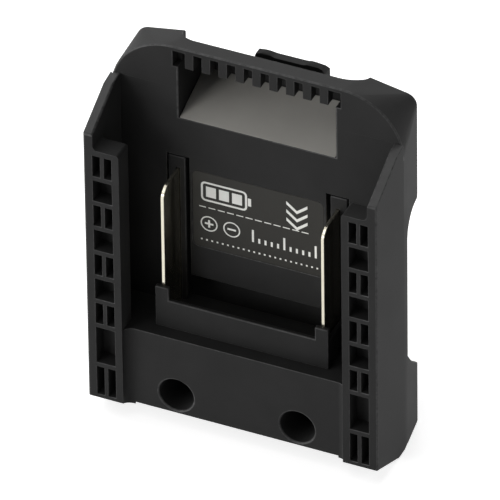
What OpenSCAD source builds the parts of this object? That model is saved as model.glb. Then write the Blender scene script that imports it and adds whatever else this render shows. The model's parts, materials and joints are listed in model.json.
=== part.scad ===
// Battery adapter for a cordless tool. The front shell takes a slide battery on two
// rails, and the rear shell plugs into the tool and is held there by a sprung latch.
// X runs to the right, Y to the back and Z up.

/* [Overall] */
// Width across the side walls
body_w = 72; // [70:0.5:80]
// Height of the top edge above the front bottom edge
body_h = 92.5; // [91:0.5:100]
// Depth from the wall fronts to the bay floor
bay_depth = 15.4; // [14.6:0.2:19]
// Depth of the rear flange behind the joint of the shells
flange_t = 9.5; // [9.1:0.2:11]
// Length of the plug behind the flange
plug_l = 17.5; // [17.1:0.2:21]
// Thickness of the moulded skins
skin = 2.2; // [1.8:0.1:2.4]
// Gap between pieces that are fitted together
fit_gap = 0.1; // [0.05:0.01:0.15]

/* [Rails] */
// Thickness of the side walls
wall_t = 2.35; // [2:0.05:2.8]
// Height of the side walls at the front
wall_h = 74.3; // [73:0.1:76]
// Rise of the sloping wall tops
wall_rise = 6.3; // [5:0.1:7]
// Gap between the two rail lips
lip_gap = 54.6; // [53:0.2:56]
// Depth of the rail lips
lip_t = 5.3; // [4.8:0.1:5.5]
// Height of the rail lips
lip_h = 70.1; // [69:0.1:71]
// Depth of the cored cells
cell_depth = 4; // [2:0.1:4.2]
// Pitch of the cell rows
cell_pitch = 6.93; // [6.5:0.01:7]
// Web between neighbouring cells
cell_web = 1.2; // [1:0.05:1.6]
// Depth of the side channels below the bay floor
channel_step = 0.25; // [0.2:0.05:0.5]

/* [Lower plate] */
// Setback of the lower plate from the wall fronts
plate_y = 2.25; // [1.5:0.05:3]
// Height of the lower plate
plate_h = 20.56; // [20:0.02:21.5]
// Spacing of the two deep screw holes
screw_gap = 30.1; // [27:0.1:33]
// Radius of the deep screw holes
deep_r = 4.3; // [3.8:0.05:4.4]
// Height of the deep screw holes
deep_z = 4.6; // [4.5:0.05:5.5]
// Depth of the deep screw holes from the wall fronts
deep_y = 13; // [11:0.5:13.5]

/* [Terminals] */
// Setback of the terminal block front from the wall fronts
block_y = 5.63; // [5.5:0.01:6.5]
// Width of the terminal block
block_w = 42.9; // [42.5:0.1:43.5]
// Height of the terminal block wall
block_h = 28.25; // [27:0.05:29]
// Height of the terminal block posts
post_h = 31.65; // [30:0.05:33]
// Spacing of the two blades
blade_gap = 39.5; // [39:0.1:39.8]
// Thickness of the blades
blade_t = 0.8; // [0.6:0.05:1]
// Height of the blade tips
blade_h = 58.6; // [56:0.2:60]
// Width of the blade carriers
carrier_w = 4.2; // [3.8:0.1:4.4]
// Height of the blade carriers
carrier_h = 62; // [61:0.2:63]
// Size of the label across and upwards
label = [32.4, 21]; // [20:0.2:32.6]
// Height of the label's lower edge
label_z = 38.3; // [37:0.1:39]
// Thickness of the label
label_t = 0.3; // [0.2:0.05:0.5]

/* [Latch pocket] */
// Width of the latch pocket
pocket_w = 38.6; // [37:0.2:39]
// Drop of the pocket mouth's lower edge below the top edge
pocket_drop = 19.6; // [18.6:0.1:20]
// Angle of the pocket ramp
ramp_angle = 19.8; // [15:0.2:20]
// Thickness of the pocket ramp
ramp_t = 1.6; // [1.2:0.1:1.8]
// Number of comb teeth
teeth = 9; // [5:2:9]
// Pitch of the comb teeth
tooth_pitch = 4.13; // [3.6:0.01:4.14]
// Width of a comb tooth
tooth_w = 2.1; // [1.6:0.05:2.4]

/* [Latch] */
// Width of the release button
button_w = 17.4; // [16:0.2:17.6]
// Height of the button above its rim
button_rise = 0.8; // [0.6:0.1:1.4]
// Travel of the button
travel = 2.5; // [1.5:0.1:3]
// Length of a latch spring at rest
spring_l = 12; // [10:0.5:12]
// Mean radius of a latch spring
spring_r = 2.2; // [1.9:0.1:2.4]
// Wire radius of a latch spring
wire_r = 0.3; // [0.25:0.05:0.35]
// Turns of a latch spring
turns = 6; // [4:1:6]

/* [Contacts] */
// Spacing of the two rear contacts
clip_gap = 24; // [22:0.2:25]
// Height of the rear contacts
clip_h = 14; // [10:0.5:15]
// Thickness of the contact and strap sheet
sheet_t = 0.6; // [0.4:0.05:0.8]

/* [Hidden] */
$fn = 48;

shell_colour = "#2e2e2e";
trim_colour = "#3a3a3a";
metal_colour = "#c9c6b4";
steel_colour = "#8d8f92";

eps = 0.02;
far = 200;
half_w = body_w / 2;
bay_half = half_w - wall_t;
lip_x = lip_gap / 2;

floor_t = 2.35;
channel_y = bay_depth + channel_step;
joint_y = channel_y + floor_t;
flange_y = joint_y + flange_t;
plug_y = flange_y + plug_l;

// The underside slopes down from the wall fronts and is flat behind a rounded bend.
keel_slope = 22.4;
keel_r = 8.7;
keel_set = 5.9;
keel_y = joint_y - keel_set;
keel_low = keel_y * tan(keel_slope);
keel_run = keel_r * tan(keel_slope / 2);
keel_a = [keel_y, -keel_low] + keel_run * [-cos(keel_slope), sin(keel_slope)];
keel_c = [keel_y + keel_run, keel_r - keel_low];

// The wide top corners at the front turn into tighter ones on a narrower back.
arc_r = 15.4;
corner_r = 3;
corner_drop = 8.4;
corner_z = body_h - corner_drop;
crest_x = 21;
crest_drop = 3.5;
crest_z = body_h - crest_drop;
edge_r = 1;
draft_angle = 8.46;
rear_half = half_w - tan(draft_angle) * (flange_y - edge_r - bay_depth);
split_z = 50;

wall_turn = 3.8;
wall_bend = bay_depth - wall_turn;
wall_step = 0.6;
channel_x = 20;
channel_top = wall_h + wall_rise + wall_step;
plate_low = -0.4;
hollow_low = 0.6;
lip_round = 0.8;
lip_fillet = 1.2;
plate_round = plate_y - 0.15;

// The flange is open at the sides between its upper part and its foot.
waist_low = 20.4;
waist_high = 58.6;
waist_r = 6;
foot_run = 3.6;
foot_fall = 4.3;
foot_drop = 8.4;

cell_side = 0.95;
cell_edge = 1.8;
cell_set = 0.15;
cell_rows = 7;
cell_w = (half_w - lip_x - wall_t + cell_set - cell_side - cell_edge) / 2;
cell_drop = 1.5;
cell_top = lip_h - cell_drop;
tall_h = 10;
tall_low = 1;

block_half = block_w / 2;
block_wall = 1.15;
post_w = 3.35;
blade_x = blade_gap / 2;
blade_set = 1;
blade_y = block_y + blade_set;
blade_back = joint_y - blade_set;
blade_in = blade_x - blade_t / 2;
tail_l = 6;
tail_y = joint_y + tail_l;
tail_rise = 10.5;
tail_h = plate_h + tail_rise;
block_base = 1.3;
block_floor = plate_h + block_base;
carrier_set = 1.88;
carrier_in = blade_x - carrier_set;
carrier_out = carrier_in + carrier_w;
window_gap = 0.35;
window_in = carrier_in - blade_set;
window_out = carrier_out + window_gap;
sill_z = 29.4;
back_t = 1.6;
back_half = carrier_out + window_gap;
back_rise = 1.4;
back_h = carrier_h + back_rise;
block_screw_rise = 4.6;
block_screw_drop = 2.2;
block_screw_z = [sill_z + block_screw_rise, back_h - block_screw_drop];

// The plug has a wide root and a narrower nose that just takes the straps.
strap_t = 0.8;
strap_room = 0.25;
strap_set = 2.2;
nose_l = 11;
nose_half = blade_in + strap_room + skin;
root_step = 3.2;
root_half = nose_half + root_step;
root_y = plug_y - nose_l;
plug_low = 8;
plug_drop = 23.5;
plug_high = body_h - plug_drop;
plug_round = 2.5;
plug_sink = 4;

label_r = 1.5;
mouth_z = body_h - pocket_drop;
tooth_drop = 5.4;
tooth_z = body_h - tooth_drop;
comb_drop = 1.2;
comb_z = body_h - comb_drop;
comb_fall = 1.9;
comb_over = 1.3;
comb_half = pocket_w / 2 + comb_over;
ramp_l = 11.5;
ramp_y = joint_y + ramp_l;
scoop_set = 3.7;
scoop_y = joint_y + scoop_set;
scoop_half = 22.7;
scoop_r = 5;
scoop_drop = 2.2;
scoop_run = 5.5;

// The tower carries the button behind the scoop.
rim_t = 1;
tower_set = 9.5;
tower_l = 7.4;
tower_y = scoop_y + tower_set;
tower_back = tower_y + tower_l;
tower_drop = 10.5;
tower_z = body_h - tower_drop;
tower_half = button_w / 2 + rim_t;
tower_fall = 7;
bend_run = 2.3;
bend_fall = 2.3;
rim_round = 0.7;
shaft_gap = 0.25;
shaft_y = tower_y + 1.1 * rim_t;
shaft_back = tower_back - rim_t;
shaft_half = button_w / 2 + shaft_gap;
slide_y = shaft_y + shaft_gap;
slide_back = shaft_back - shaft_gap;
slide_mid = (slide_y + slide_back) / 2;
button_y = shaft_y + rim_t;
button_back = shaft_back - 0.4 * rim_t;
button_z = tower_z + button_rise;
button_fall = 3;
button_round = 0.8;

slide_sink = 7;
slide_h = 11;
slide_z = plug_high - slide_sink;
slide_top = slide_z + slide_h;
stem_w = 8;
stem_t = 2.8;
stem_h = 6.5;
stem_y = (button_y + button_back) / 2;
pin_r = 0.8;
pin_gap = 0.05;
pin_rise = 3.2;
pin_z = slide_top + pin_rise;
hook_set = 1.6;
hook_t = 2.2;
hook_y = tower_back + hook_set;
hook_back = hook_y + hook_t;
hook_half = 4;
hook_gap = 0.4;
hook_rise = 3;
hook_foot = 3.2;
hook_tip = 0.9;

seat_z = slide_z - spring_l;
seat_t = 2;
spigot_r = spring_r - 3 * wire_r;
spring_x = 5.5;
retainer_t = 1.3;
retainer_y = shaft_y - retainer_t;
retainer_set = 3.75;
retainer_x = shaft_half + retainer_set;
retainer_edge = 2.4;
retainer_z = (seat_z + slide_z) / 2 + retainer_edge;
post_half = 3;

clip_x = clip_gap / 2;
clip_y = root_y;
clip_mid = 27;
clip_low = clip_mid - clip_h / 2;
clip_high = clip_mid + clip_h / 2;
clip_half = 2;
clip_slot = 1.5;
clip_waist = 0.9;
clip_mouth = 1.7;
clip_run = [3.2, 6.4, 8.2];
holder_edge = 3;
holder_gap = 1.2;
holder_half = nose_half - skin - holder_gap;
holder_screw_set = 6;
holder_screw_z = [clip_mid - holder_screw_set, clip_mid + holder_screw_set];
holder_sink = 5;
strap_low = plate_h + strap_set;
strap_high = tail_h - blade_set;

// Screws: shank, head radius and head thickness, with the play of clearance and pilot holes
small_r = 1.05;
small_head = 2.2;
small_t = 1.3;
case_r = 1.25;
case_head = 2.7;
case_t = 2;
pilot_gap = 0.05;
clear_gap = 0.4;
head_gap = 0.2;
tip_gap = 0.5;
boss_t = 1.95;
boss_l = 3;
boss_y = joint_y + boss_l;
upper_set = 7;
upper_drop = 18.5;
upper_x = half_w - upper_set;
upper_z = body_h - upper_drop;
lower_x = screw_gap / 2;

// Drawing helpers: a profile in X and Z, in Y and Z, or in X and Y
module slab(y0, y1) translate([0, y1, 0]) rotate([90, 0, 0]) linear_extrude(height = y1 - y0) children();

module across(x0, x1) translate([x0, 0, 0]) rotate([90, 0, 90]) linear_extrude(height = x1 - x0) children();

module rise(z0, z1) translate([0, 0, z0]) linear_extrude(height = z1 - z0) children();

function around(c, h) = [c - h, c + h];

function mirrored(points) = [for (i = [len(points) - 1 : -1 : 0]) [-points[i][0], points[i][1]]];

module both() {
    children();
    mirror([1, 0, 0]) children();
}

module block(x, y, z) translate([x[0], y[0], z[0]]) cube([x[1] - x[0], y[1] - y[0], z[1] - z[0]]);

module rod(x, z, r, y0, y1) translate([x, y1, z]) rotate([90, 0, 0]) cylinder(r = r, h = y1 - y0);

module soft_square(x0, x1, z0, z1, r) {
    translate([x0 + r, z0]) square([x1 - x0 - 2 * r, z1 - z0]);
    translate([x0, z0 + r]) square([x1 - x0, z1 - z0 - 2 * r]);
    for (x = [x0 + r, x1 - r], z = [z0 + r, z1 - r]) translate([x, z]) circle(r);
}

module keel_profile(y0, y1, top, z0 = 0) intersection() {
    union() {
        polygon([[y0, z0], keel_a, keel_c, [keel_c[0], -keel_low], [far, -keel_low], [far, far], [y0, far]]);
        translate(keel_c) circle(keel_r);
    }
    translate([y0, -far]) square([y1 - y0, far + top]);
}

module front_outline() {
    translate([-half_w, split_z]) square([body_w, body_h - arc_r - split_z]);
    translate([-half_w + arc_r, split_z]) square([body_w - 2 * arc_r, body_h - split_z]);
    for (x = [arc_r - half_w, half_w - arc_r]) translate([x, body_h - arc_r]) circle(arc_r);
}

module rear_outline(inset) {
    translate([-rear_half + inset, split_z]) square([2 * (rear_half - inset), corner_r]);
    for (x = [corner_r - rear_half, rear_half - corner_r]) translate([x, corner_z]) circle(corner_r - inset);
    for (x = [-crest_x, crest_x]) translate([x, crest_z - corner_r]) circle(corner_r - inset);
}

module flange_form() hull() {
    slab(bay_depth, bay_depth + eps) front_outline();
    for (a = [0 : 30 : 90]) let (y = flange_y - edge_r * (1 - sin(a)))
        slab(y - eps, y) rear_outline(edge_r * (1 - cos(a)));
}

// Plan of the back part below the top corners, narrowing to the back
module taper_plan() {
    side = [[half_w, bay_depth], [rear_half, flange_y - edge_r], [rear_half - edge_r, flange_y]];
    polygon(concat(side, mirrored(side)));
}

module wall_profile() intersection() {
    keel_profile(0, bay_depth + eps, channel_top);
    polygon([[-1, -far], [-1, wall_h - wall_rise / wall_bend], [wall_bend, wall_h + wall_rise],
        [bay_depth, channel_top], [joint_y, channel_top], [joint_y, -far]]);
}

module lip_profile() {
    translate([lip_x, -keel_y]) square([bay_half - lip_x + eps, lip_h - lip_round + keel_y]);
    translate([lip_x + lip_round, 0]) square([bay_half - lip_x - lip_round + eps, lip_h]);
    translate([lip_x + lip_round, lip_h - lip_round]) circle(lip_round);
    difference() {
        translate([bay_half - lip_fillet, lip_h - eps]) square([lip_fillet + eps, lip_fillet + eps]);
        translate([bay_half - lip_fillet, lip_h + lip_fillet]) circle(lip_fillet);
    }
}

module plate_fillet() translate([lip_x - plate_round, plate_y - plate_round]) difference() {
    square([plate_round + eps, plate_round + eps]);
    circle(plate_round);
}

module cell(columns, z0, z1) {
    outer = bay_half + cell_set;
    step = cell_w + cell_side;
    width = columns == 1 ? cell_w + step : cell_w;
    for (c = [0 : columns - 1])
        block([outer - c * step - width, outer - c * step], [-1, cell_depth], [z0, z1]);
}

module cells() {
    for (row = [0 : cell_rows - 1]) let (top = cell_top - row * cell_pitch)
        cell(row % 2 == 0 ? 2 : 1, top - cell_pitch + cell_web, top);
    tall_top = cell_top - cell_rows * cell_pitch;
    cell(1, tall_top - tall_h, tall_top);
    cell(2, tall_low, tall_top - tall_h - cell_web);
}

module comb_cut() difference() {
    across(-comb_half, comb_half)
        polygon([[bay_depth - 1, tooth_z], [bay_depth - 1, comb_z], [bay_depth, comb_z],
            [joint_y + 1, comb_z - comb_fall], [joint_y + 1, tooth_z]]);
    for (i = [0 : teeth - 1]) let (x = (i - (teeth - 1) / 2) * tooth_pitch)
        block(around(x, tooth_w / 2), [0, far], [tooth_z - 1, far]);
}

module front_body() {
    both() across(bay_half, half_w) wall_profile();
    both() intersection() {
        slab(0, lip_t) lip_profile();
        across(0, half_w) keel_profile(0, lip_t, far);
    }
    across(-bay_half - eps, bay_half + eps) keel_profile(plate_y, joint_y, plate_h, plate_low);
    both() intersection() {
        rise(-far, plate_h) plate_fillet();
        across(0, half_w) keel_profile(0, lip_t, plate_h);
    }
    intersection() {
        rise(-far, split_z + eps) taper_plan();
        across(-half_w, half_w) keel_profile(0, joint_y, far);
    }
    intersection() {
        flange_form();
        block([-far, far], [0, joint_y], [split_z, far]);
    }
    both() rod(upper_x, upper_z, case_r + boss_t, joint_y - eps, boss_y);
}

module lower_hollow() difference() {
    block(around(0, bay_half - skin), [plate_y + skin, joint_y + 1], [hollow_low, plate_h - skin]);
    both() rod(lower_x, deep_z, deep_r + boss_t, 0, far);
}

module front_shell() color(shell_colour) difference() {
    front_body();
    both() block([channel_x, bay_half], [bay_depth - 1, channel_y], [plate_h, channel_top]);
    both() cells();
    block(around(0, pocket_w / 2), [0, joint_y + 1], [mouth_z, tooth_z + eps]);
    comb_cut();
    block(around(0, window_in), [0, joint_y + 1], [plate_h, sill_z]);
    both() block([window_in, window_out], [0, joint_y + 1], [plate_h, carrier_h + window_gap]);
    slab(0, bay_depth + label_t + fit_gap)
        soft_square(-label[0] / 2 - fit_gap, label[0] / 2 + fit_gap, label_z - fit_gap,
            label_z + label[1] + fit_gap, label_r + fit_gap);
    lower_hollow();
    both() rod(lower_x, deep_z, deep_r, -1, deep_y);
    both() rod(lower_x, deep_z, case_r + clear_gap, 0, far);
    both() rod(upper_x, upper_z, case_r + pilot_gap, joint_y - tip_gap, far);
    for (z = block_screw_z) rod(0, z, small_r + pilot_gap, bay_depth + label_t + tip_gap, far);
}

module scoop() intersection() {
    across(-scoop_half, scoop_half)
        polygon([[scoop_y, far], [scoop_y, body_h - scoop_drop],
            [scoop_y + scoop_run, body_h - scoop_drop - scoop_run],
            [tower_y, tower_z - rim_round], [tower_y, far]]);
    rise(0, far) soft_square(-scoop_half, scoop_half, scoop_y, far, scoop_r);
}

function ramp_z(y) = mouth_z + (y - bay_depth) * tan(ramp_angle);

module pocket_hollow(gap) across(-pocket_w / 2 - gap, pocket_w / 2 + gap)
    polygon([[joint_y - 1, ramp_z(joint_y - 1) - ramp_t - gap],
        [ramp_y + gap, ramp_z(ramp_y + gap) - ramp_t - gap], [ramp_y + gap, tower_z - scoop_drop + gap],
        [scoop_y - rim_t, tooth_z + rim_round + gap], [joint_y - 1, comb_z - comb_fall + gap]]);

module rear_body() {
    intersection() {
        flange_form();
        across(-half_w, half_w) difference() {
            polygon([[joint_y, waist_high - waist_r], [joint_y + waist_r, waist_high - waist_r],
                [joint_y + waist_r, waist_high], [flange_y - edge_r, waist_high],
                [flange_y, waist_high + 2 * edge_r], [flange_y, body_h], [joint_y, body_h]]);
            translate([joint_y + waist_r, waist_high - waist_r]) circle(waist_r);
        }
    }
    intersection() {
        across(-half_w, half_w) intersection() {
            keel_profile(0, flange_y, waist_low);
            polygon([[joint_y, -far], [joint_y, waist_low], [joint_y + foot_run, waist_low - foot_fall],
                [flange_y - edge_r, waist_low - foot_drop], [flange_y, waist_low - foot_drop - edge_r],
                [flange_y, edge_r - keel_low], [flange_y - 2 * edge_r, -edge_r - keel_low]]);
        }
        rise(-far, far) taper_plan();
    }
    slab(joint_y, root_y) soft_square(-root_half, root_half, plug_low, plug_high, plug_round);
    slab(joint_y, plug_y) soft_square(-nose_half, nose_half, plug_low, plug_high, plug_round);
    across(-pocket_w / 2 - skin, pocket_w / 2 + skin)
        polygon([[joint_y, plug_high - plug_sink], [joint_y, body_h - crest_drop],
            [flange_y, body_h - tooth_drop], [tower_y, tower_z], [tower_y, plug_high - plug_sink]]);
    intersection() {
        slab(tower_y, tower_back) {
            side = [[tower_half - rim_round, tower_z], [tower_half, tower_z - rim_t],
                [tower_half, plug_high - plug_sink]];
            polygon(concat(side, mirrored(side)));
        }
        across(-tower_half, tower_half)
            polygon([[tower_y, 0], [tower_y, tower_z], [shaft_y, tower_z],
                [shaft_y + bend_run, tower_z - bend_fall], [tower_back, tower_z - tower_fall],
                [tower_back, 0]]);
    }
}

module plug_hollow() difference() {
    for (form = [[root_half, root_y], [nose_half, plug_y]])
        block(around(0, form[0] - skin), [joint_y - 1, form[1] - skin], [plug_low + skin, plug_high - skin]);
    block(around(0, root_half), [shaft_y, tower_back], [seat_z - seat_t, seat_z]);
    both() block([shaft_half, retainer_x + retainer_edge], [shaft_y, plug_y], around(retainer_z, post_half));
    both() translate([spring_x, slide_mid, seat_z - eps])
        cylinder(r = spigot_r, h = spring_l - travel - shaft_gap);
}

module rear_shell() color(shell_colour) difference() {
    rear_body();
    scoop();
    pocket_hollow(fit_gap);
    plug_hollow();
    block(around(0, shaft_half), [shaft_y, shaft_back], [slide_z, body_h]);
    block(around(0, hook_half + hook_gap), [hook_y - hook_gap, hook_back + hook_gap],
        [slide_z, plug_high + 1]);
    both() difference() {
        block([root_half, rear_half - skin], [joint_y - 1, flange_y - skin],
            [waist_high + skin, corner_z - skin]);
        rod(upper_x, upper_z, case_head + boss_t, joint_y, flange_y);
    }
    difference() {
        block(around(0, rear_half - skin), [joint_y - 1, flange_y - skin], [skin - keel_low, plug_low + 1]);
        both() rod(lower_x, deep_z, case_r + boss_t, joint_y, flange_y);
    }
    both() rod(lower_x, deep_z, case_r + pilot_gap, joint_y - 1, flange_y - skin);
    both() rod(upper_x, upper_z, case_r + boss_t + fit_gap, joint_y - 1, boss_y + fit_gap);
    both() rod(upper_x, upper_z, case_r + clear_gap, joint_y, flange_y);
    both() rod(upper_x, upper_z, case_head + head_gap, boss_y + back_t, far);
    both() block(around(clip_x, clip_slot), [plug_y - skin - 1, plug_y + 1],
        [clip_low - tip_gap, clip_high + tip_gap]);
    for (z = holder_screw_z) rod(0, z, small_r + pilot_gap, plug_y - skin - 1, plug_y - tip_gap);
    both() rod(retainer_x, retainer_z, small_r + pilot_gap, shaft_y - 1, shaft_y + holder_sink);
}

module pocket_ramp() color(trim_colour) difference() {
    across(-pocket_w / 2 + fit_gap, pocket_w / 2 - fit_gap)
        polygon([[bay_depth, mouth_z - ramp_t], [ramp_y, ramp_z(ramp_y) - ramp_t], [ramp_y, ramp_z(ramp_y)],
            [bay_depth, mouth_z]]);
    block([-far, far], [0, joint_y], [0, mouth_z + eps]);
}

module terminal_block() color(trim_colour) difference() {
    union() {
        slab(block_y, block_y + block_wall) {
            translate([-block_half, plate_h]) square([block_w, block_h - plate_h]);
            for (x = [-block_half, block_half - post_w])
                translate([x, plate_h]) square([post_w, post_h - plate_h]);
        }
        block(around(0, block_half), [block_y, joint_y + eps], [plate_h, block_floor]);
        both() block([block_half - block_wall, block_half], [block_y, joint_y], [plate_h, block_h]);
        both() block([carrier_in, carrier_out], [bay_depth, joint_y + eps], [plate_h, carrier_h]);
        block(around(0, back_half), [joint_y, joint_y + back_t], [plate_h + window_gap, back_h]);
    }
    both() block(around(blade_x, (blade_t + fit_gap) / 2), [blade_y - fit_gap / 2, blade_back + fit_gap],
        [block_floor, blade_h + fit_gap]);
    both() block(around(blade_x, (blade_t + fit_gap) / 2), [blade_back, tail_y],
        [block_floor, tail_h + fit_gap]);
    for (z = block_screw_z) rod(0, z, small_r + shaft_gap, 0, far);
}

module blade() color(metal_colour) across(blade_in, blade_in + blade_t)
    polygon([[blade_y, block_floor], [blade_y, blade_h - 3 * blade_t],
        [blade_y + 0.6 * blade_t, blade_h - 1.8 * blade_t],
        [blade_y + 1.9 * blade_t, blade_h - 0.6 * blade_t],
        [blade_y + 3.8 * blade_t, blade_h], [blade_back, blade_h], [blade_back, tail_h],
        [tail_y, tail_h], [tail_y, block_floor]]);

module blade_right() blade();

module blade_left() mirror([1, 0, 0]) blade();

// A pan-head screw along Y with the underside of its head at y and a cross recess
module screw(x, z, y, r, head_r, head_t, length, towards = 1) translate([x, y, z])
    rotate([towards > 0 ? -90 : 90, 0, 0]) difference() {
        union() {
            translate([0, 0, -head_t]) cylinder(r = head_r, h = head_t);
            cylinder(r = r, h = length);
        }
        for (a = [0, 90]) rotate([0, 0, a])
            block(around(0, head_r * 0.55), around(0, head_r * 0.12), [-head_t - 1, -head_t * 0.4]);
    }

module block_screws() color(steel_colour) for (z = block_screw_z) let (y = joint_y + back_t)
    screw(0, z, y, small_r, small_head, small_t, y - bay_depth - label_t - 2 * tip_gap, -1);

module lower_screws() color(steel_colour) both()
    screw(lower_x, deep_z, deep_y, case_r, case_head, case_t, flange_y - skin - tip_gap - deep_y);

module upper_screws() color(steel_colour) both()
    screw(upper_x, upper_z, boss_y + back_t, case_r, case_head, case_t, boss_l + back_t, -1);

module retainer_screws() color(steel_colour) both()
    screw(retainer_x, retainer_z, retainer_y, small_r, small_head, small_t,
        retainer_t + holder_sink - tip_gap);

module holder_screws() color(steel_colour) for (z = holder_screw_z)
    screw(0, z, clip_y + holder_sink, small_r, small_head, small_t, nose_l - holder_sink - 2 * tip_gap);

module label_plate() color("#26231f") slab(bay_depth + fit_gap, bay_depth + label_t + fit_gap)
    soft_square(-label[0] / 2, label[0] / 2, label_z, label_z + label[1], label_r);

module bus_strap() color(metal_colour) rise(strap_low, strap_high)
    polygon([[blade_in - strap_t, joint_y + strap_set], [blade_in, joint_y + strap_set], [blade_in, clip_y],
        [clip_x - clip_half, clip_y], [clip_x - clip_half, clip_y - strap_t],
        [blade_in - strap_t, clip_y - strap_t]]);

module bus_strap_right() bus_strap();

module bus_strap_left() mirror([1, 0, 0]) bus_strap();

module contact_holder() color(trim_colour) difference() {
    block(around(0, holder_half), [clip_y, plug_y - skin], [clip_low - holder_edge, clip_high + holder_edge]);
    both() block(around(clip_x, clip_half + fit_gap), [0, plug_y], [clip_low - fit_gap, clip_high + fit_gap]);
    for (z = holder_screw_z) rod(0, z, small_head + head_gap, 0, clip_y + holder_sink);
    for (z = holder_screw_z) rod(0, z, small_r + shaft_gap, clip_y, plug_y);
}

module contact_clip() color(metal_colour) rise(clip_low, clip_high) translate([clip_x, clip_y]) {
    leaf = [[clip_half, 0], [clip_half, clip_run[0]], [clip_waist, clip_run[1]], [clip_mouth, clip_run[2]],
        [clip_mouth - sheet_t, clip_run[2]], [clip_waist - sheet_t, clip_run[1]],
        [clip_half - sheet_t, clip_run[0]], [clip_half - sheet_t, sheet_t]];
    polygon(concat(leaf, mirrored(leaf)));
}

module contact_clip_right() contact_clip();

module contact_clip_left() mirror([1, 0, 0]) contact_clip();

// The button top has two finger bumps, and its back slopes down.
module release_button() color(shell_colour) difference() {
    intersection() {
        slab(button_y, button_back) {
            h = button_w / 2;
            side = [[h - 5.2 * rim_t, button_z - 0.65 * rim_t], [h - 4.3 * rim_t, button_z - 0.35 * rim_t],
                [h - 3.5 * rim_t, button_z], [h - 2.5 * rim_t, button_z - 0.05 * rim_t],
                [h - 1.6 * rim_t, button_z - 0.35 * rim_t], [h - 0.5 * rim_t, button_z - 0.75 * rim_t],
                [h, button_z - 2.1 * rim_t], [h, slide_top]];
            polygon(concat(side, mirrored(side)));
        }
        across(-far, far)
            polygon([[button_y, 0], [button_y, button_z - 0.4 * rim_t], [button_y + 0.4 * rim_t, button_z],
                [button_y + 1.5 * rim_t, button_z], [button_back, button_z - button_fall], [button_back, 0]]);
        rise(0, far) soft_square(-button_w / 2, button_w / 2, button_y, button_back, button_round);
    }
    block(around(0, stem_w / 2 + fit_gap), around(stem_y, stem_t / 2 + fit_gap),
        [0, slide_top + stem_h + fit_gap]);
    rod(0, pin_z, pin_r + pin_gap, 0, far);
}

module latch_slide() color(trim_colour) difference() {
    union() {
        block(around(0, button_w / 2), [slide_y, slide_back], [slide_z, slide_top]);
        block(around(0, stem_w / 2), around(stem_y, stem_t / 2), [slide_top - eps, slide_top + stem_h]);
        across(-hook_half, hook_half)
            polygon([[slide_mid, slide_z], [hook_back, slide_z], [hook_back, plug_high + hook_gap],
                [hook_y + hook_tip, plug_high + hook_rise], [hook_y, plug_high + hook_rise],
                [hook_y, slide_z + hook_foot], [slide_mid, slide_z + hook_foot]]);
    }
    rod(0, pin_z, pin_r + pin_gap, 0, far);
}

module button_pin() color(steel_colour) rod(0, pin_z, pin_r, button_y + fit_gap, button_back - fit_gap);

module latch_retainer() color(trim_colour) difference() {
    block(around(0, retainer_x + retainer_edge), [retainer_y, shaft_y],
        [seat_z + tip_gap, plug_high - skin - shaft_gap]);
    both() rod(retainer_x, retainer_z, small_r + fit_gap, 0, far);
}

// A coil of round wire along Z with six-sided rings, eight to a turn
module coil() {
    rings = 8 * turns;
    lift = spring_l - 2 * wire_r;
    function ring(i) = let (a = 45 * i, z = wire_r + lift * i / rings)
        [for (k = [0 : 5]) let (d = spring_r + wire_r * cos(60 * k))
            [d * cos(a), d * sin(a), z + wire_r * sin(60 * k)]];
    side = [for (i = [0 : rings - 1], k = [0 : 5]) let (n = (k + 1) % 6)
        [i * 6 + k, (i + 1) * 6 + k, (i + 1) * 6 + n, i * 6 + n]];
    echo(str("least gap between the turns ", lift / turns - 2 * wire_r));
    polyhedron(points = [for (i = [0 : rings]) each ring(i)],
        faces = concat(side, [[for (k = [0 : 5]) k], [for (k = [5 : -1 : 0]) rings * 6 + k]]));
}

module latch_spring(x) color(steel_colour) translate([x, slide_mid, seat_z]) coil();

module latch_spring_right() latch_spring(spring_x);

module latch_spring_left() latch_spring(-spring_x);

module placed() translate([0, -plug_y / 2, keel_low]) children();

placed() front_shell();
placed() rear_shell();
placed() pocket_ramp();
placed() terminal_block();
placed() blade_left();
placed() blade_right();
placed() block_screws();
placed() label_plate();
placed() bus_strap_left();
placed() bus_strap_right();
placed() contact_holder();
placed() contact_clip_left();
placed() contact_clip_right();
placed() holder_screws();
placed() release_button();
placed() latch_slide();
placed() button_pin();
placed() latch_spring_left();
placed() latch_spring_right();
placed() latch_retainer();
placed() retainer_screws();
placed() lower_screws();
placed() upper_screws();
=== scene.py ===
import json
import math

import bmesh
import bpy
from mathutils import Matrix, Vector


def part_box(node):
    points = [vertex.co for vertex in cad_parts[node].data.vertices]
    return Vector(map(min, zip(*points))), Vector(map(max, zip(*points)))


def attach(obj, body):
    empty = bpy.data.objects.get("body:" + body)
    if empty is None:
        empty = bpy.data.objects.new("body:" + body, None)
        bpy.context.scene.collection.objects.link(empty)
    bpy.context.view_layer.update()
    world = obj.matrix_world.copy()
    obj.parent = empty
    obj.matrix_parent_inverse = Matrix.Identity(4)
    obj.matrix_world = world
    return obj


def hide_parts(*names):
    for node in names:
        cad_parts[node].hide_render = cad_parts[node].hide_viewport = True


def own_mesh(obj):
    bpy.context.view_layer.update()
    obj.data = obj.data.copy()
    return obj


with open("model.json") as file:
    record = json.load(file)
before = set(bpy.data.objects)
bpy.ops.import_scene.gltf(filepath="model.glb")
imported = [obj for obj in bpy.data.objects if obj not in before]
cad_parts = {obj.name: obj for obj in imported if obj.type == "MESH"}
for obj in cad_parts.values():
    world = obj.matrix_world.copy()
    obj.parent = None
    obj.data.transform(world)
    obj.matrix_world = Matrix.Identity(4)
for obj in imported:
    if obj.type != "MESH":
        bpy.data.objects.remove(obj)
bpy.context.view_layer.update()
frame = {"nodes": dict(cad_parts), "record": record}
nodes = frame["nodes"]
mm = 0.001                             # metres
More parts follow.
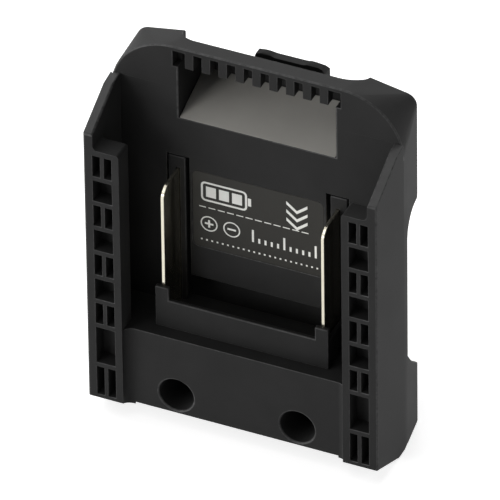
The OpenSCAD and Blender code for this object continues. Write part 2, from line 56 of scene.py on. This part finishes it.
scene = bpy.context.scene
scene.view_settings.view_transform = "Standard"

# camera: a long lens, turned and raised as the photograph's was
cameraSetup = {
    "azimuth": 24.4875,                # degrees round to the right of straight on
    "elevation": 37.1217,              # degrees above the floor
    "roll": -0.7677,                   # degrees
    "target": (0, -12.5, 46.987),      # mm
    "offset": (0.3049, 2.5098),        # mm along the picture's right and up
    "distance": 2774.893,              # mm
    "focal": 12293,                    # pixels
    "picture": 500,                    # pixels across
    "sensor": 36,                      # mm across
}


def placeCamera(setup):
    turn, rise, roll = (math.radians(setup[key]) for key in ("azimuth", "elevation", "roll"))
    level = Vector((math.cos(turn), math.sin(turn), 0))
    back = Vector((math.sin(turn) * math.cos(rise), -math.cos(turn) * math.cos(rise), math.sin(rise)))
    upright = back.cross(level)
    right = level * math.cos(roll) + upright * math.sin(roll)
    up = upright * math.cos(roll) - level * math.sin(roll)
    across, above = setup["offset"]
    eye = Vector(setup["target"]) + right * across + up * above + back * setup["distance"]
    lens = bpy.data.cameras.new("camera")
    lens.sensor_width = setup["sensor"]
    lens.lens = setup["focal"] * setup["sensor"] / setup["picture"]
    camera = bpy.data.objects.new("camera", lens)
    scene.collection.objects.link(camera)
    camera.matrix_world = Matrix.Translation(eye * mm) @ Matrix((right, up, back)).transposed().to_4x4()
    scene.camera = camera


placeCamera(cameraSetup)
print("camera: placed")


def linear(code):
    parts = [int(code[i:i + 2], 16) / 255 for i in (1, 3, 5)]   # sRGB to linear light
    return tuple(p / 12.92 if p <= 0.04045 else ((p + 0.055) / 1.055) ** 2.4 for p in parts) + (1,)


def addNode(tree, kind, sockets=None, **settings):
    node = tree.nodes.new(kind)
    for key, value in settings.items():
        setattr(node, key, value)
    for key, value in (sockets or {}).items():
        if isinstance(value, bpy.types.NodeSocket):
            tree.links.new(value, node.inputs[key])
        else:
            node.inputs[key].default_value = value
    return node


def newMaterial(name):
    material = bpy.data.materials.new(name)
    material.use_nodes = True
    material.node_tree.nodes.clear()
    return material, material.node_tree


# in the materials, a Mix node's share is socket 0, its colours are 6 and 7 and its result is output 2

# moulded plastics: fine texture from the mould, soft broad sheen, corners paler as a painted highlight with
# speckle of worn skin
plastics = {                           # grain, bump and patch in mm
    "glassFilledNylonMoulded": {       # housing: near black, dull, faint flow mottling
        "colour": "#1e1e1e", "mottle": "#242424", "roughness": 0.6, "specular": 0.1,
        "grain": 0.55, "bump": 0.03, "patch": 9,
    },
    "glassFilledNylonWornAndHighlit": {        # housing corners: greyer along the rounds as a painted highlight, speckled like worn skin
        "colour": "#1f1f1f", "mottle": "#444444", "roughness": 0.52, "specular": 0.18,
        "grain": 0.5, "bump": 0.02, "patch": 1.1,
    },
    "glassFilledNylonPaintedSheen": {       # tops of the side walls: an even lighter grey, a painted sheen of the light from above
        "colour": "#383838", "mottle": "#404040", "roughness": 0.54, "specular": 0.18,
        "grain": 0.5, "bump": 0.03, "patch": 3,
    },
    "nylonMouldedInner": {             # inner mouldings: the same black from a smoother tool
        "colour": "#1b1b1b", "mottle": "#202020", "roughness": 0.55, "specular": 0.1,
        "grain": 0.7, "bump": 0.015, "patch": 7,
    },
    "nylonInnerWornAndHighlit": {              # their corners: a little greyer along the rounds, painted highlight with speckle of wear
        "colour": "#1b1b1b", "mottle": "#353535", "roughness": 0.5, "specular": 0.18,
        "grain": 0.6, "bump": 0.01, "patch": 1.3,
    },
    "acetalMouldedSatin": {            # ramp: slippery, satin, takes up the light from above
        "colour": "#989691", "mottle": "#9d9b96", "roughness": 0.4, "specular": 0.4,
        "grain": 0.6, "bump": 0.01, "patch": 8,
    },
}
plasticCommon = {
    "ior": 1.53, "bumpStrength": 0.5, "roughnessSwing": 0.06,
    "grainDetail": 3, "grainRoughness": 0.6, "patchDetail": 4, "patchRoughness": 0.55,
    "mottleFrom": 0.3, "mottleTo": 0.7,    # noise levels between which the colour turns to the mottle
}


def plasticMaterial(name, look, common):
    material, tree = newMaterial(name)
    place = addNode(tree, "ShaderNodeTexCoord").outputs["Object"]
    # real mould grain is about 0.1 mm: drawn coarser here so that it shows
    grain = addNode(tree, "ShaderNodeTexNoise", {
        "Vector": place, "Scale": 1 / (look["grain"] * mm),
        "Detail": common["grainDetail"], "Roughness": common["grainRoughness"]})
    patch = addNode(tree, "ShaderNodeTexNoise", {
        "Vector": place, "Scale": 1 / (look["patch"] * mm),
        "Detail": common["patchDetail"], "Roughness": common["patchRoughness"]})
    spread = addNode(tree, "ShaderNodeMapRange", {
        "Value": patch.outputs["Fac"], "From Min": common["mottleFrom"], "From Max": common["mottleTo"]})
    bump = addNode(tree, "ShaderNodeBump", {
        "Strength": common["bumpStrength"], "Distance": look["bump"] * mm, "Height": grain.outputs["Fac"]})
    body = addNode(tree, "ShaderNodeMix", {
        0: spread.outputs["Result"], 6: linear(look["colour"]), 7: linear(look["mottle"])}, data_type="RGBA")
    dull = addNode(tree, "ShaderNodeMapRange", {
        "Value": patch.outputs["Fac"],
        "To Min": look["roughness"] - common["roughnessSwing"],
        "To Max": look["roughness"] + common["roughnessSwing"]})
    shader = addNode(tree, "ShaderNodeBsdfPrincipled", {
        "Base Color": body.outputs[2], "Roughness": dull.outputs["Result"], "IOR": common["ior"],
        "Specular IOR Level": look["specular"], "Normal": bump.outputs["Normal"]})
    addNode(tree, "ShaderNodeOutputMaterial", {"Surface": shader.outputs["BSDF"]})
    return material


# metals: plated, drawn or rolled along one way, bright but not mirror-like
metals = {                             # line, cloud and bump in mm
    "brassNickelPlated": {             # contacts: warm silver, fine rolling lines along the strip
        "colour": "#d9d5c6", "tint": "#c6c1ae", "roughness": 0.22,
        "line": 0.35, "stretch": 14, "cloud": 4, "bump": 0.001,
    },
    "steelZincPlated": {               # screws, springs, pin: cooler grey, slightly cloudy
        "colour": "#b9bcc0", "tint": "#9ea2a8", "roughness": 0.34,
        "line": 0.4, "stretch": 5, "cloud": 4, "bump": 0.006,
    },
}
metalCommon = {"detail": 3, "bumpStrength": 0.4, "roughnessSwing": 0.07}


def metalMaterial(name, look, common):
    material, tree = newMaterial(name)
    place = addNode(tree, "ShaderNodeTexCoord").outputs["Object"]
    along = addNode(tree, "ShaderNodeMapping", {"Vector": place, "Scale": (1, 1, 1 / look["stretch"])})
    # rolling lines are finer than 0.1 mm: drawn at 0.35 to 0.4 mm so that they show
    lines = addNode(tree, "ShaderNodeTexNoise", {
        "Vector": along.outputs["Vector"], "Scale": 1 / (look["line"] * mm), "Detail": common["detail"]})
    cloud = addNode(tree, "ShaderNodeTexNoise", {
        "Vector": place, "Scale": 1 / (look["cloud"] * mm), "Detail": common["detail"]})
    bump = addNode(tree, "ShaderNodeBump", {
        "Strength": common["bumpStrength"], "Distance": look["bump"] * mm, "Height": lines.outputs["Fac"]})
    skin = addNode(tree, "ShaderNodeMix", {
        0: cloud.outputs["Fac"], 6: linear(look["colour"]), 7: linear(look["tint"])}, data_type="RGBA")
    dull = addNode(tree, "ShaderNodeMapRange", {
        "Value": lines.outputs["Fac"],
        "To Min": look["roughness"] - common["roughnessSwing"],
        "To Max": look["roughness"] + common["roughnessSwing"]})
    shader = addNode(tree, "ShaderNodeBsdfPrincipled", {
        "Base Color": skin.outputs[2], "Metallic": 1, "Roughness": dull.outputs["Result"],
        "Normal": bump.outputs["Normal"]})
    addNode(tree, "ShaderNodeOutputMaterial", {"Surface": shader.outputs["BSDF"]})
    return material


# label: polyester film and the ink on it, both with the slight waviness of a coating
films = {                              # peel in mm
    "polyesterFilmPrinted": {          # ground: dark and a little warm, with a low even gloss
        "colour": "#1b1a17", "mottle": "#201f1b", "roughness": 0.5, "specular": 0.18, "peel": 1.2,
    },
    "screenInkWhite": {                # pictograms: flat, slightly uneven white
        "colour": "#e0e0dd", "mottle": "#d8d8d4", "roughness": 0.6, "specular": 0.3, "peel": 0.5,
    },
}
filmCommon = {"ior": 1.6, "detail": 2, "bump": 0.01, "bumpStrength": 0.3}    # bump in mm


def filmMaterial(name, look, common):
    material, tree = newMaterial(name)
    place = addNode(tree, "ShaderNodeTexCoord").outputs["Object"]
    # orange peel of the coating, 0.5 to 1.2 mm across
    peel = addNode(tree, "ShaderNodeTexNoise", {
        "Vector": place, "Scale": 1 / (look["peel"] * mm), "Detail": common["detail"]})
    bump = addNode(tree, "ShaderNodeBump", {
        "Strength": common["bumpStrength"], "Distance": common["bump"] * mm, "Height": peel.outputs["Fac"]})
    ground = addNode(tree, "ShaderNodeMix", {
        0: peel.outputs["Fac"], 6: linear(look["colour"]), 7: linear(look["mottle"])}, data_type="RGBA")
    shader = addNode(tree, "ShaderNodeBsdfPrincipled", {
        "Base Color": ground.outputs[2], "Roughness": look["roughness"], "IOR": common["ior"],
        "Specular IOR Level": look["specular"], "Normal": bump.outputs["Normal"]})
    addNode(tree, "ShaderNodeOutputMaterial", {"Surface": shader.outputs["BSDF"]})
    return material


materials = {name: plasticMaterial(name, look, plasticCommon) for name, look in plastics.items()}
materials.update({name: metalMaterial(name, look, metalCommon) for name, look in metals.items()})
materials.update({name: filmMaterial(name, look, filmCommon) for name, look in films.items()})
print("materials:", len(materials))

bodies = frame["record"]["behaviour"]["bodies"]
bodyOf = {node: body for body, members in bodies.items() for node in members}


def makePiece(bm, name, body, material):
    mesh = bpy.data.meshes.new(name)
    bm.to_mesh(mesh)
    bm.free()
    mesh.materials.append(materials[material])
    piece = bpy.data.objects.new(name, mesh)
    scene.collection.objects.link(piece)
    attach(piece, body)
    return piece


# mouldings and strips whose corners show: each is its node again with the sharp corners broken
cornerBreaks = {                       # radius of the plain corners and of the fine ones, mm
    "front_shell": {
        "radius": 0.42, "fine": 0.13, "steps": 3, "finish": "glassFilledNylonMoulded", "slot": "housing",
        "cuts": (0, 29.6, 32.2),       # where faces that run round an opening are cut, on both sides
        "tips": ((35.3, 36.1), (-7.2, -7), (86, 86.3)),        # the arc's ends, too small for a round
        "paintedSheenZone": ((33.5, 36.1), (-22.6, -7), (79, 86.3)),    # tops of the side walls, where their upward faces get the painted sheen
    },
    "rear_shell": {
        "radius": 0.3, "fine": 0.15, "steps": 3, "finish": "glassFilledNylonMoulded", "slot": "housing",
    },
    "release_button": {
        "radius": 0.18, "fine": 0.18, "steps": 3, "finish": "glassFilledNylonMoulded", "slot": "housing",
        "angle": 75,                   # degrees; only its square corners are broken
    },
    "terminal_block": {
        "radius": 0.25, "fine": 0.15, "steps": 2, "finish": "nylonMouldedInner", "slot": "inner_moulding",
    },
    "latch_slide": {
        "radius": 0.2, "fine": 0.15, "steps": 2, "finish": "nylonMouldedInner", "slot": "inner_moulding",
    },
    "pocket_ramp": {
        "radius": 0.25, "fine": 0.2, "steps": 3, "finish": "acetalMouldedSatin", "slot": "ramp",
    },
    "blade_left": {
        "radius": 0.12, "fine": 0.12, "steps": 2, "finish": "brassNickelPlated", "slot": "contact_metal",
    },
    "blade_right": {
        "radius": 0.12, "fine": 0.12, "steps": 2, "finish": "brassNickelPlated", "slot": "contact_metal",
    },
}
fineZones = {                          # boxes in mm where corners are fine, with x taken on both sides
    "front_shell": [
        ((27.2, 35.6), (-23, -16), (-9, 75.5)), ((24, 31), (-23, -16), (-9, 6)),    # rails
        ((0, 24), (-12, 12), (82, 96.4)),                                           # comb
        ((0, 20.7), (-8, -4), (25, 82)), ((19, 34), (-7.4, -6.6), (20, 86.5)),      # bay floor, channels
    ],
    "rear_shell": [((0, 36), (5.5, 25), (-9, 99)), ((34.5, 36.5), (-4.6, 0), (55, 62))],
    "terminal_block": [((0, 36), (-6.5, 25), (0, 99))],
}
channels = {                           # mm: the side channels fall away from the bay floor without a step
    "inner": 20, "outer": 33.65, "floor": -7.1, "deep": -6.85, "foot": 25, "near": 0.02,
    "lap": 0.02, "lapNear": 0.005,     # the top's blend starts this far behind the lip: closed up here
}
cornerRules = {
    "merge": 0.01, "mergeTips": 0.15, "cutNear": 0.001,    # mm
    "flat": 0.3,                       # degrees; faces that turn less than this are one face
    "plain": 28,                       # degrees; flatter corners are the facets of a curve
    "sharp": 50,                       # degrees; corners past this shade as two faces
    "runOn": 30,                       # degrees; edges that turn less than this are one corner
    "sideways": 0.3,                   # sine; an edge that runs on along the same corner takes no room
    "share": 0.4,                      # of the next edge's length, the most that a round takes
    "jointNear": 0.25,                 # mm; edges as near as this to the shells' joint stay sharp
    "upward": 0.7,                     # z of the normal from which a wall's top gets the painted sheen
}
# corner rounds take a paler speckled material: painted highlight along the corners, with speckle of worn
# skin
wornAndHighlitFinish = {
    "glassFilledNylonMoulded": "glassFilledNylonWornAndHighlit",
    "nylonMouldedInner": "nylonInnerWornAndHighlit",
}
# upward faces of the side wall tops take a lighter grey: painted sheen
paintedSheenFinish = "glassFilledNylonPaintedSheen"
wornAndHighlitSlot, paintedSheenSlot = 1, 2         # places in a dressed piece's list of materials
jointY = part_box("rear_shell")[0].y     # the two shells close tight here


def isIn(zone, verts):
    return all(low <= value / mm <= high for v in verts
               for value, (low, high) in zip((abs(v.co.x), v.co.y, v.co.z), zone))


def roomAt(edge):
    room = math.inf
    for v in edge.verts:
        along = edge.other_vert(v).co - v.co
        for near in {e for face in edge.link_faces for e in face.edges if v in e.verts and e is not edge}:
            across = near.other_vert(v).co - v.co
            sine = math.sin(along.angle(across))
            if sine > cornerRules["sideways"]:
                room = min(room, cornerRules["share"] * across.length * sine)
    return room


def evenOut(radii):
    # a corner that runs on over several edges keeps the least radius found along it
    runOn = math.radians(cornerRules["runOn"])
    runs = []
    for v in {v for edge in radii for v in edge.verts}:
        ends = [edge for edge in v.link_edges if edge in radii]
        ways = [(edge, edge.other_vert(v).co - v.co) for edge in ends]
        runs += [(a, b) for i, (a, wayA) in enumerate(ways) for b, wayB in ways[:i]
                 if wayA.angle(-wayB) < runOn]
    changed = True
    while changed:
        changed = False
        for a, b in runs:
            if radii[a] != radii[b]:
                radii[a] = radii[b] = min(radii[a], radii[b])
                changed = True


def featherChannels(bm, look):
    inner, outer, near = look["inner"], look["outer"], look["near"]
    for v in bm.verts:
        x, y, z = abs(v.co.x) / mm, v.co.y / mm, v.co.z / mm
        if abs(y - look["deep"]) < near and inner - near < x < outer + near and z > look["foot"]:
            share = (x - inner) / (outer - inner)
            v.co.y = (look["floor"] + share * (look["deep"] - look["floor"])) * mm
        elif abs(y - look["floor"] - look["lap"]) < look["lapNear"]:
            v.co.y = look["floor"] * mm


def smoothBroad(bm):
    sharp = math.radians(cornerRules["sharp"])
    for face in bm.faces:
        face.smooth = True
    for edge in bm.edges:
        edge.smooth = edge.is_manifold and abs(edge.calc_face_angle_signed(0)) < sharp


def cutAcross(bm, places):
    # faces that run round an opening are cut, so that each face left has one plain outline
    for place in {side * x for x in places for side in (-1, 1)}:
        cut = bmesh.ops.bisect_plane(
            bm, geom=bm.verts[:] + bm.edges[:] + bm.faces[:], dist=cornerRules["cutNear"] * mm,
            plane_co=(place * mm, 0, 0), plane_no=(1, 0, 0))
        for part in cut["geom_cut"]:
            if isinstance(part, bmesh.types.BMEdge):
                part.seam = True
    bmesh.ops.dissolve_limit(bm, angle_limit=math.radians(cornerRules["flat"]),
                             verts=bm.verts, edges=bm.edges, delimit={"SEAM"})


def cornerRadii(bm, name, look):
    plain = math.radians(look.get("angle", cornerRules["plain"]))
    jointNear = cornerRules["jointNear"] * mm
    radii = {}
    for edge in bm.edges:
        if not edge.is_manifold or edge.calc_face_angle_signed(0) < plain:
            continue
        if "tips" in look and isIn(look["tips"], edge.verts):
            continue
        if all(abs(v.co.y - jointY) < jointNear for v in edge.verts):
            continue
        fine = any(isIn(zone, edge.verts) for zone in fineZones.get(name, []))
        radii[edge] = min(roomAt(edge), mm * (look["fine"] if fine else look["radius"]))
    evenOut(radii)
    return radii


def breakCorners(name, look):
    bm = bmesh.new()
    bm.from_mesh(nodes[name].data)
    if name == "front_shell":
        featherChannels(bm, channels)
    bmesh.ops.remove_doubles(bm, verts=bm.verts, dist=cornerRules["merge"] * mm)
    if "tips" in look:
        tips = [v for v in bm.verts if isIn(look["tips"], [v])]
        bmesh.ops.remove_doubles(bm, verts=tips, dist=cornerRules["mergeTips"] * mm)
    cutAcross(bm, look.get("cuts", (0,)))
    weight = bm.edges.layers.float.new("bevel_weight_edge")
    radii = cornerRadii(bm, name, look)
    for edge in bm.edges:
        edge[weight] = radii.get(edge, 0) / (look["radius"] * mm)
    # painted sheen: the upward faces on the side wall tops turn a lighter grey
    if "paintedSheenZone" in look:
        for face in bm.faces:
            if face.normal.z > cornerRules["upward"] and isIn(look["paintedSheenZone"], face.verts):
                face.material_index = paintedSheenSlot
    smoothBroad(bm)
    piece = makePiece(bm, name + "_dressed", bodyOf[name], look["finish"])
    soft = piece.modifiers.new("broken corners", "BEVEL")
    soft.limit_method = "WEIGHT"
    soft.width = look["radius"] * mm
    soft.segments = look["steps"]
    soft.profile = 0.5
    soft.use_clamp_overlap = False
    # painted highlight: the bevel's rounds take the paler speckled material, with speckle of wear
    if look["finish"] in wornAndHighlitFinish:
        piece.data.materials.append(materials[wornAndHighlitFinish[look["finish"]]])
        soft.material = wornAndHighlitSlot
    if "paintedSheenZone" in look:
        piece.data.materials.append(materials[paintedSheenFinish])
    even = piece.modifiers.new("flat faces stay flat", "WEIGHTED_NORMAL")
    even.keep_sharp = True
    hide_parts(name)


for name, look in cornerBreaks.items():
    breakCorners(name, look)
print("corners broken on", len(cornerBreaks), "pieces")

# latch springs: each coil is its node again, merged and smooth-shaded
springSetup = {
    "nodes": ("latch_spring_left", "latch_spring_right"), "joint": "press_release",
    "travel": 2.5,                     # mm
}


def buildSpring(name):
    bm = bmesh.new()
    bm.from_mesh(nodes[name].data)
    bmesh.ops.remove_doubles(bm, verts=bm.verts, dist=cornerRules["merge"] * mm)
    smoothBroad(bm)
    piece = makePiece(bm, name + "_coil", bodyOf[name], "steelZincPlated")
    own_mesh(piece)
    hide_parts(name)


for name in springSetup["nodes"]:
    buildSpring(name)
print("springs:", len(springSetup["nodes"]))

# the other nodes keep their own meshes
finishes = {
    "nylonMouldedInner": ["contact_holder", "latch_retainer"],
    "polyesterFilmPrinted": ["label_plate"],
    "brassNickelPlated": ["bus_strap_left", "bus_strap_right", "contact_clip_left", "contact_clip_right"],
    "steelZincPlated": ["block_screws", "holder_screws", "retainer_screws", "lower_screws", "upper_screws",
                        "button_pin"],
}
for finish, members in finishes.items():
    for name in members:
        nodes[name].data.materials.clear()
        nodes[name].data.materials.append(materials[finish])
print("finishes on", sum(len(members) for members in finishes.values()), "plain nodes")

# label print: plain pictograms in white ink, in mm from the middle of the film
labelPrint = {
    "ink": 0.03, "stroke": 0.5, "thin": 0.24,
    "cell": {"at": (-8.4, 5.3), "size": (11.4, 5.4), "round": 1.1, "steps": 4, "bars": 3, "barGap": 0.75,
             "nub": (0.2, 1), "nubHalf": 1.08},
    "arrows": {"at": (9.6, 7.6), "wide": 5.2, "tall": 2.1, "thick": 0.85, "step": 2.3, "count": 3},
    "rule": {"from": -14.6, "v": 0.7, "dash": 1.7, "gap": 0.6, "count": 12},
    "poles": {"plus": (-12.2, -3.7), "minus": (-6.6, -3.7), "radius": 2.1, "ring": 0.312, "sides": 40,
              "arm": 1.05},
    "scale": {"from": -1.6, "step": 1.55, "count": 11, "foot": -5.6, "short": 1.3, "long": 3.4,
              "longEvery": 5},
    "dots": {"from": -14.3, "step": 1.3, "count": 23, "v": -8.6, "size": 0.42},
}


def printLabel(look):
    bm = bmesh.new()
    line = look["stroke"]

    def bar(u0, u1, v0, v1):
        bm.faces.new([bm.verts.new((u, v, 0)) for u, v in ((u0, v0), (u1, v0), (u1, v1), (u0, v1))])

    def frameLine(faces, width):
        bmesh.ops.inset_region(bm, faces=faces, thickness=width, use_boundary=True, use_even_offset=True)
        bmesh.ops.delete(bm, geom=faces, context="FACES_ONLY")

    cell = look["cell"]                # battery outline, rounded, with its charge bars and nub
    (u, v), (wide, tall), gap = cell["at"], cell["size"], cell["barGap"]
    grid = bmesh.ops.create_grid(bm, x_segments=1, y_segments=1, size=0.5,
                                 matrix=Matrix.Translation((u, v, 0)) @ Matrix.Diagonal((wide, tall, 1, 1)))
    bmesh.ops.bevel(bm, geom=grid["verts"], offset=cell["round"], segments=cell["steps"], profile=0.5,
                    affect="VERTICES", material=-1)
    frameLine(bm.faces[:], line)
    inner = wide - 2 * line - 2 * gap
    pitch = (inner + gap) / cell["bars"]
    barHalf = tall / 2 - line - gap
    for i in range(cell["bars"]):
        left = u - inner / 2 + i * pitch
        bar(left, left + pitch - gap, v - barHalf, v + barHalf)
    nubFrom, nubTo = (u + wide / 2 + reach for reach in cell["nub"])
    bar(nubFrom, nubTo, v - cell["nubHalf"], v + cell["nubHalf"])

    arrow = look["arrows"]             # chevrons along the way a battery slides on
    half, fall, thick = arrow["wide"] / 2, arrow["tall"], arrow["thick"]
    for i in range(arrow["count"]):
        u, v = arrow["at"][0], arrow["at"][1] - i * arrow["step"]
        for side in (-1, 1):
            end = u + side * half
            outline = [(u, v - fall), (end, v), (end, v + thick), (u, v - fall + thick)]
            bm.faces.new([bm.verts.new((x, y, 0)) for x, y in outline[::side]])

    rule = look["rule"]                # dashed line
    for i in range(rule["count"]):
        u = rule["from"] + i * (rule["dash"] + rule["gap"])
        bar(u, u + rule["dash"], rule["v"], rule["v"] + look["thin"])

    poles = look["poles"]              # ringed signs for the two blades
    arm, half = poles["arm"], line / 2
    for sign in ("plus", "minus"):
        u, v = poles[sign]
        before = set(bm.faces)
        bmesh.ops.create_circle(bm, cap_ends=True, radius=poles["radius"], segments=poles["sides"],
                                matrix=Matrix.Translation((u, v, 0)))
        frameLine([face for face in bm.faces if face not in before], poles["ring"])
        bar(u - arm, u + arm, v - half, v + half)
        if sign == "plus":
            bar(u - half, u + half, v + half, v + arm)
            bar(u - half, u + half, v - arm, v - half)

    scale = look["scale"]              # long and short ticks
    for i in range(scale["count"]):
        u = scale["from"] + i * scale["step"]
        tick = scale["short"] if i % scale["longEvery"] else scale["long"]
        bar(u, u + line, scale["foot"], scale["foot"] + tick)
    dots = look["dots"]
    for i in range(dots["count"]):
        u = dots["from"] + i * dots["step"]
        bar(u, u + dots["size"], dots["v"], dots["v"] + dots["size"])

    bmesh.ops.recalc_face_normals(bm, faces=bm.faces)
    bmesh.ops.reverse_faces(bm, faces=[face for face in bm.faces if face.normal.z < 0])
    raised = bmesh.ops.extrude_face_region(bm, geom=bm.faces)["geom"]
    bmesh.ops.translate(bm, verts=[v for v in raised if isinstance(v, bmesh.types.BMVert)],
                        vec=(0, 0, look["ink"]))
    low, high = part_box("label_plate")
    middle = Vector(((low.x + high.x) / 2, low.y, (low.z + high.z) / 2))
    bm.transform(Matrix.Translation(middle) @ Matrix.Rotation(math.pi / 2, 4, "X") @ Matrix.Scale(mm, 4))
    makePiece(bm, "label_print", "housing", "screenInkWhite")


printLabel(labelPrint)
print("label: printed")

# stage: white floor that keeps a shadow, soft boxes above, on both sides and in front on the left
stageSetup = {
    "floor": 3.0, "floorSides": 64,    # metres
    "floorColour": "#f2f2f2", "floorRoughness": 0.9,
    "floorGlow": 0.7,                  # added where the camera or a gloss sees the floor
    "aim": (0, 0, 0.05),               # metres
    "lamps": {                         # metres, metres across, watts
        "overFront": {"at": (-0.1, -0.45, 0.9), "size": 0.6, "watts": 1.5},
        "overBack": {"at": (-0.2, 0.55, 0.85), "size": 0.8, "watts": 5.2},
        "overLeft": {"at": (-0.7, 0.1, 0.75), "size": 0.7, "watts": 1.8},
        "right": {"at": (1.0, 0.45, 0.3), "size": 0.7, "watts": 2.2},
        "frontLeft": {"at": (-0.55, -0.88, 0.28), "size": 0.4, "watts": 4.8},
        "lowLeft": {"at": (-0.9, -0.6, 0.15), "size": 0.35, "watts": 5.6},
    },
}
white = (1, 1, 1, 1)


def backdropSeen(tree):
    # 1 for the camera and for what gloss and glass show, 0 for the light that falls on the object
    path = addNode(tree, "ShaderNodeLightPath").outputs
    seen = addNode(tree, "ShaderNodeMath", {
        0: path["Is Camera Ray"], 1: path["Is Glossy Ray"]}, operation="ADD")
    seen = addNode(tree, "ShaderNodeMath", {
        0: seen.outputs[0], 1: path["Is Transmission Ray"]}, operation="ADD", use_clamp=True)
    return seen.outputs[0]


def layFloor(setup):
    bm = bmesh.new()
    bmesh.ops.create_circle(bm, cap_ends=True, radius=setup["floor"], segments=setup["floorSides"])
    mesh = bpy.data.meshes.new("floor")
    bm.to_mesh(mesh)
    bm.free()
    floor = bpy.data.objects.new("floor", mesh)
    scene.collection.objects.link(floor)
    material, tree = newMaterial("paperWhite")    # dull sheet without gloss
    glow = addNode(tree, "ShaderNodeMath", {
        0: backdropSeen(tree), 1: setup["floorGlow"]}, operation="MULTIPLY")
    shader = addNode(tree, "ShaderNodeBsdfPrincipled", {
        "Base Color": linear(setup["floorColour"]), "Roughness": setup["floorRoughness"],
        "Specular IOR Level": 0, "Emission Color": white, "Emission Strength": glow.outputs[0]})
    addNode(tree, "ShaderNodeOutputMaterial", {"Surface": shader.outputs["BSDF"]})
    mesh.materials.append(material)


def setWorld():
    world = bpy.data.worlds.new("studio")
    world.use_nodes = True
    tree = world.node_tree
    tree.nodes.clear()
    light = addNode(tree, "ShaderNodeBackground", {"Color": white, "Strength": backdropSeen(tree)})
    addNode(tree, "ShaderNodeOutputWorld", {"Surface": light.outputs["Background"]})
    scene.world = world


def hangLamps(setup):
    aim = Vector(setup["aim"])
    for name, lamp in setup["lamps"].items():
        light = bpy.data.lights.new(name, "AREA")
        light.shape = "SQUARE"
        light.size = lamp["size"]
        light.energy = lamp["watts"]
        box = bpy.data.objects.new(name, light)
        scene.collection.objects.link(box)
        box.location = lamp["at"]
        box.rotation_euler = (aim - Vector(lamp["at"])).to_track_quat("-Z", "Y").to_euler()


layFloor(stageSetup)
setWorld()
hangLamps(stageSetup)
print("stage: floor, world and", len(stageSetup["lamps"]), "lamps")
